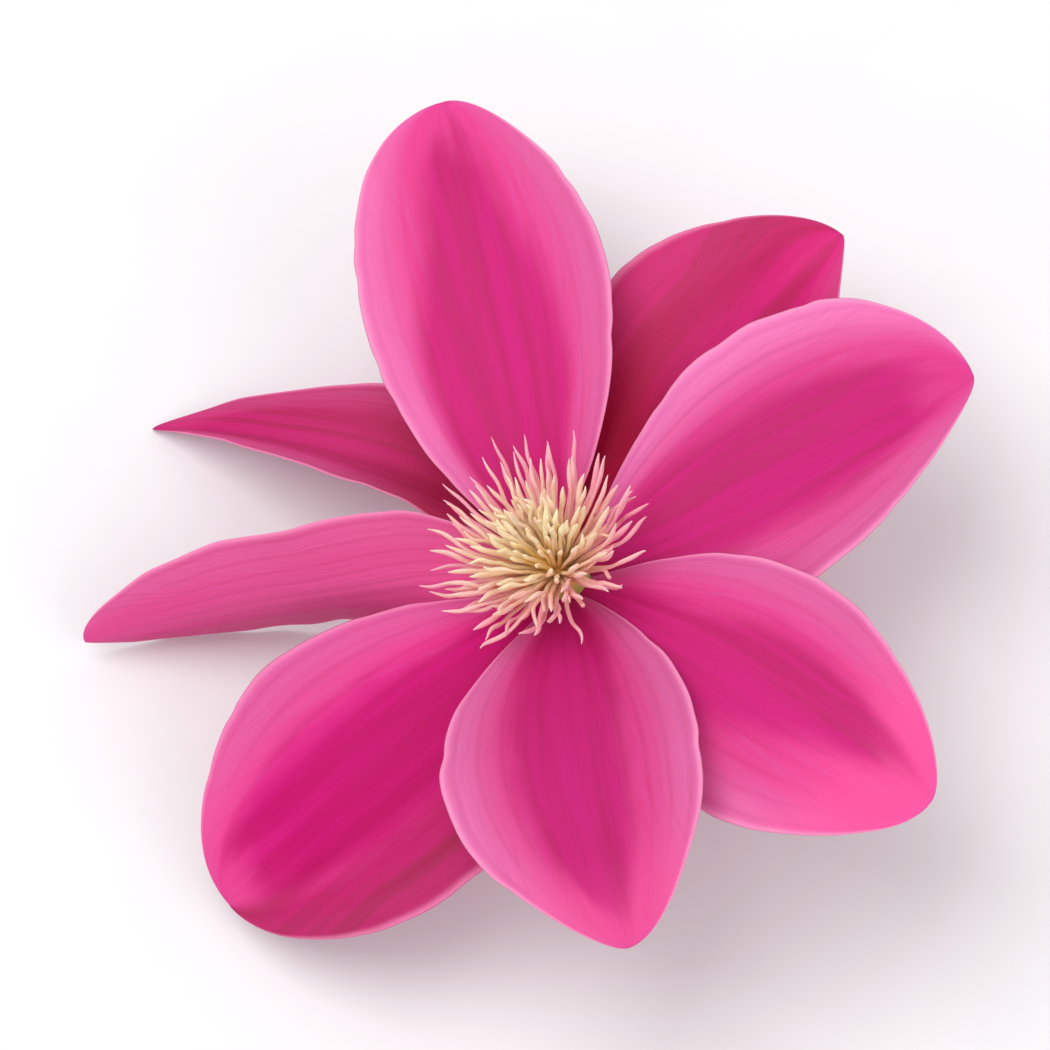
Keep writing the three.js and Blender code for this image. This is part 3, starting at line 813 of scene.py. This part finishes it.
for index in range(BETWEEN_STAMENS):
    # Some of those at the front turn off sideways, to the left and the right in turn.
    place = (index + 0.5) / BETWEEN_STAMENS
    azimuth = (index + 0.5) * GOLDEN_ANGLE + BETWEEN_TURN
    at_front = 0.5 - 0.5 * np.sin(np.radians(azimuth))
    front = FRONT_KINK * at_front ** 4 * (1 if index % 2 else -1)
    build_stamen(
        f"stamen_between_{index + 1:02d}",
        azimuth,
        stamen_angle(place),
        lerp(*STAMEN_ARCH, place),
        lerp(*BETWEEN_LENGTHS, place),
        SEEDS["between"] + index,
        waver=BETWEEN_WAVER,
        kink=front - 2 * SIDE_KINK * place * np.cos(np.radians(azimuth)),
        slim=SLIM,
        curl=BETWEEN_CURL,
    )

for index in range(INNER_STAMENS):
    share = (index + 0.5) / INNER_STAMENS
    build_stamen(
        f"stamen_inner_{index + 1:02d}",
        FRONT + INNER_GAP / 2 + (360 - INNER_GAP) * (index * GOLDEN_SHARE % 1),
        lerp(*INNER_ANGLES, share),
        INNER_ARCH,
        lerp(*INNER_LENGTHS, share),
        SEEDS["inner"] + index,
        waver=INNER_WAVER,
        slim=INNER_SLIM,
    )

for index in range(FRONT_STAMENS):
    share = (index + 0.5) / FRONT_STAMENS
    build_stamen(
        f"stamen_front_{index + 1:02d}",
        FRONT + FRONT_ARC * (index * GOLDEN_SHARE % 1 - FRONT_LEFT),
        lerp(*FRONT_ANGLES, share),
        FRONT_ARCH,
        lerp(*FRONT_LENGTHS, share),
        SEEDS["front"] + index,
        waver=FRONT_WAVER,
        kink=FRONT_KINK * LOW_KINK * (1 if index % 2 else -1),
        slim=SLIM,
        curl=FRONT_CURL,
    )


def build_pistil(name, azimuth, from_axis, length, seed, nodes=()):
    """A pistil: a swollen ovary, a slender wavering style and a small stigma."""
    draw = np.random.default_rng(seed)
    arch = PISTIL_ARCH if from_axis else 0
    u, line, _ = bent_line(azimuth, from_axis, arch, length, draw, PISTIL_WAVER, 0.0)
    radii = lerp(OVARY_RADIUS, STYLE_RADIUS, smoothstep(u, *OVARY_SPAN))
    radii = (radii + STIGMA_SWELLING * smoothstep(u, *STIGMA_SPAN)) * pointed(u, STIGMA_ROUND)
    rings = sweep_rings(line, radii, THREAD_SIDES)
    blush = draw.uniform(0, PISTIL_BLUSH)
    piece = loft(name, place_tuft(rings), {"along": u[:, None], "blush": blush})
    finish_piece(piece, PISTIL, "pistil", *nodes)


for index in range(PISTILS):
    build_pistil(
        f"pistil_style_{index + 1}",
        360 * index / (PISTILS - 1),
        PISTIL_SPREAD if index else 0,
        PISTIL_LENGTH,
        SEEDS["pistil"] + index,
        nodes=[f"pistil_{index + 1}"],
    )

for index in range(EXTRA_PISTILS):
    share = (index + 0.5) / EXTRA_PISTILS
    build_pistil(
        f"pistil_between_{index + 1:02d}",
        (index + 0.5) * GOLDEN_ANGLE,
        lerp(*EXTRA_ANGLES, np.sqrt(share)),
        PISTIL_LENGTH * lerp(*EXTRA_LENGTHS, share),
        SEEDS["extra_pistil"] + index,
    )

# ---------------------------------------------------------------- receptacle and stalk


def smooth_curve(points, samples):
    """A centripetal Catmull-Rom curve through the points, sampled evenly in its own parameter."""
    points = np.array(points, float)
    points = np.vstack([2 * points[0] - points[1], points, 2 * points[-1] - points[-2]])
    spans = len(points) - 3
    out = []
    for value in np.linspace(0, spans, samples + 1):
        k = min(int(value), spans - 1)
        p0, p1, p2, p3 = points[k:k + 4]
        d0, d1, d2 = (np.sqrt(np.linalg.norm(b - a)) for a, b in ((p0, p1), (p1, p2), (p2, p3)))
        start = ((p1 - p0) / d0 - (p2 - p0) / (d0 + d1) + (p2 - p1) / d1) * d1
        end = ((p2 - p1) / d1 - (p3 - p1) / (d1 + d2) + (p3 - p2) / d2) * d1
        w = value - k
        out.append(
            p1 + start * w + (3 * (p2 - p1) - 2 * start - end) * w ** 2
            + (2 * (p1 - p2) + start + end) * w ** 3
        )
    return np.array(out)


def points_at(curve, distances):
    """Points of a polyline at distances along it, and how long it is."""
    lengths = np.concatenate([[0], np.cumsum(np.linalg.norm(np.diff(curve, axis=0), axis=1))])
    return np.stack([np.interp(distances, lengths, curve[:, k]) for k in range(3)], axis=1), lengths[-1]


STALK_OLIVE = colour(104, 120, 56)
STALK_GREEN = colour(146, 156, 82)
STALK_BROWN = colour(122, 74, 62)
STALK_SPECK = colour(120, 118, 52)
NECK_COLOUR = colour(206, 194, 104)
DOME_COLOUR = colour(230, 158, 70)
CUT_COLOUR = colour(214, 220, 160)


def stalk_material():
    """Olive green with purplish brown patches, yellower towards the dome, and a pale cut end."""
    m = Shader("stalk_skin")
    along = m.attribute("along")
    grain = m.streaks(m.attribute("round"), 9.0, along, 30.0, 3.0, 3.0)
    patches = m.noise(m.place(), 90.0, 3.0)
    specks = m.noise(m.place(), 900.0, 3.0)
    pores = m.noise(m.place(), 2600.0, 3.0)
    skin = m.blend(m.smooth(grain, 0.35, 0.65), STALK_OLIVE, STALK_GREEN)
    skin = m.blend(m.smooth(patches, 0.45, 0.65, 0.0, 0.65), skin, STALK_BROWN)
    skin = m.blend(m.smooth(along, 0.10, 0.22, 0.62, 0.0), skin, NECK_COLOUR)
    skin = m.blend(m.smooth(along, 0.02, 0.06, 0.7, 0.0), skin, DOME_COLOUR)
    skin = m.blend(m.smooth(specks, 0.5, 0.7, 0.0, 0.35), skin, STALK_SPECK)
    skin = m.blend(m.attribute("cut"), skin, CUT_COLOUR)
    m.set(base_color=skin, roughness=m.smooth(grain, 0.3, 0.7, 0.5, 0.7), specular_ior_level=0.35)
    m.bump(m.add(grain, m.multiply(pores, 0.6)), 0.14)
    return m.material


def stalk_curve():
    """The centre line from the top of the dome to the cut, with the receptacle's centre as its origin,
    and its length. As in the part, it is kept from sinking in the surface."""
    axis = HEAD @ np.array([0.0, 0.0, 1.0])
    straight = [axis * h for h in (DOME_HEIGHT + DOME_RADIUS, 0, -COLLAR_LENGTH, -NECK_STRAIGHT)]
    route = smooth_curve(straight + [np.array(point, float) for point in STALK_ROUTE], ROUTE_SAMPLES)
    route[:, 2] = np.maximum(route[:, 2], STALK_LOW)
    curve = smooth_curve(route, CURVE_SAMPLES * ROUTE_SAMPLES)
    return curve, points_at(curve, [0])[1]


def stalk_radii(total):
    """Distances along the stalk, from the top of the dome, and the radius at each."""
    depths = DOME_RADIUS * (1 - np.cos(np.linspace(DOME_TOP, np.pi / 2, DOME_RINGS)))
    stations = [(d, np.sqrt(DOME_RADIUS ** 2 - (DOME_RADIUS - d) ** 2)) for d in depths]
    stations += [(d, COLLAR_RADIUS) for d in (COLLAR_START, COLLAR_START + COLLAR_BAND, COLLAR_END)]
    above_neck = [d for d, _ in stations]
    stations += [(COLLAR_END + d, lerp(STALK_RADIUS, COLLAR_RADIUS, share)) for d, share in NECK]
    distances = np.concatenate([above_neck, np.linspace(COLLAR_END + NECK_START, total, STALK_RINGS)])
    return distances, np.interp(distances, *np.array(stations).T)


def build_stalk():
    """The receptacle and the ridged stalk, which grew as one piece, down to the slanting cut."""
    curve, total = stalk_curve()
    distances, radii = stalk_radii(total)
    centres, _ = points_at(curve, distances)
    angles = 2 * np.pi * np.arange(STALK_SIDES) / STALK_SIDES
    ridged = smoothstep(distances, COLLAR_START, COLLAR_END + RIDGES_FULL)[:, None]
    section = 1 + RIDGE_DEPTH * (np.cos(RIDGES * angles)[None] - 1) * ridged
    rings = sweep_rings(centres, radii, STALK_SIDES, section=section)

    # The cut draws the last stretch along on one side and back on the other.
    tangent = unit(centres[-1] - centres[-4])
    offsets = (rings[-1] - centres[-1]) @ tangent
    slant = np.cos(angles) * STALK_RADIUS * CUT_SLANT - offsets
    near_cut = smoothstep(distances, total - CUT_LENGTH, total)
    rings += near_cut[:, None, None] * np.outer(slant, tangent)

    # The cut face: rings that close in on the pith.
    face = [centres[-1] + (rings[-1] - centres[-1]) * share for share in CUT_FACE]
    rings = np.concatenate([rings, np.array(face)])
    cut = np.concatenate([np.zeros(len(distances)), np.ones(len(face))])
    along = np.concatenate([distances / total, np.ones(len(face))])
    attributes = {"along": along[:, None], "round": np.sin(angles), "cut": cut[:, None]}
    piece = loft("stalk_with_receptacle", rings + FLOWER, attributes)
    finish_piece(piece, stalk_material(), "pedicel", "pedicel")


build_stalk()

# ---------------------------------------------------------------- stage, light and camera

FLOOR_RADIUS = 3.0                # metres, as the other sizes from here on
FLOOR_SIDES = 96
FLOOR_COLOUR = colour(234, 233, 234)
FLOOR_GRAIN = colour(238, 237, 238)
SKY_COLOUR = (1.0, 0.99, 1.0, 1.0)
SKY_STRENGTH = 0.74
KEY_LIGHT = dict(place=(-0.5, 0.2, 1.4), size=1.0, power=11.5)    # power in watts
FILL_LIGHT = dict(place=(0.9, -0.6, 0.9), size=0.9, power=3.0)
CAMERA_ELEVATION = 71             # degrees above the horizon, the angle of the photograph on the face
CAMERA_DISTANCE = 1.0
FRAME_WIDTH = 0.1652              # what the frame spans at that distance
SENSOR_WIDTH = 36.0               # millimetres, as Blender has it
RECEPTACLE_IN_FRAME = (-0.0056, 0.00771)   # from the receptacle to the frame's middle: right, up


def build_floor():
    mesh = bpy.data.meshes.new("floor")
    angles = np.linspace(0, 2 * np.pi, FLOOR_SIDES, endpoint=False)
    ring = [(FLOOR_RADIUS * np.cos(a), FLOOR_RADIUS * np.sin(a), 0.0) for a in angles]
    mesh.from_pydata(ring, [], [list(range(FLOOR_SIDES))])
    floor = bpy.data.objects.new("floor", mesh)
    bpy.context.scene.collection.objects.link(floor)
    m = Shader("floor_paper")
    paper = m.blend(m.noise(m.place(), 60.0, 3.0), FLOOR_COLOUR, FLOOR_GRAIN)
    m.set(base_color=paper, roughness=0.85, specular_ior_level=0.2)
    mesh.materials.append(m.material)


def add_area_light(name, place, size, power):
    """A square soft light that faces the blossom."""
    lamp = bpy.data.lights.new(name, "AREA")
    lamp.size = size
    lamp.energy = power
    light = bpy.data.objects.new(name, lamp)
    light.location = place
    light.rotation_euler = (-Vector(place)).to_track_quat("-Z", "Y").to_euler()
    bpy.context.scene.collection.objects.link(light)


def build_light():
    world = bpy.data.worlds.new("studio")
    bpy.context.scene.world = world
    world.use_nodes = True
    background = world.node_tree.nodes["Background"]
    background.inputs["Color"].default_value = SKY_COLOUR
    background.inputs["Strength"].default_value = SKY_STRENGTH
    add_area_light("key", **KEY_LIGHT)
    add_area_light("fill", **FILL_LIGHT)


def build_camera():
    elevation = np.radians(CAMERA_ELEVATION)
    back = Vector((0, -np.cos(elevation), np.sin(elevation)))
    up = Vector((0, np.sin(elevation), np.cos(elevation)))
    right, rise = RECEPTACLE_IN_FRAME
    target = Vector(FLOWER * MM) + Vector((right, 0, 0)) + up * rise
    data = bpy.data.cameras.new("camera")
    data.sensor_width = SENSOR_WIDTH
    data.lens = SENSOR_WIDTH * CAMERA_DISTANCE / FRAME_WIDTH
    camera = bpy.data.objects.new("camera", data)
    camera.location = target + back * CAMERA_DISTANCE
    camera.rotation_euler = (-back).to_track_quat("-Z", "Y").to_euler()
    bpy.context.scene.collection.objects.link(camera)
    bpy.context.scene.camera = camera


build_floor()
build_light()
build_camera()
bpy.context.scene.view_settings.view_transform = "Standard"
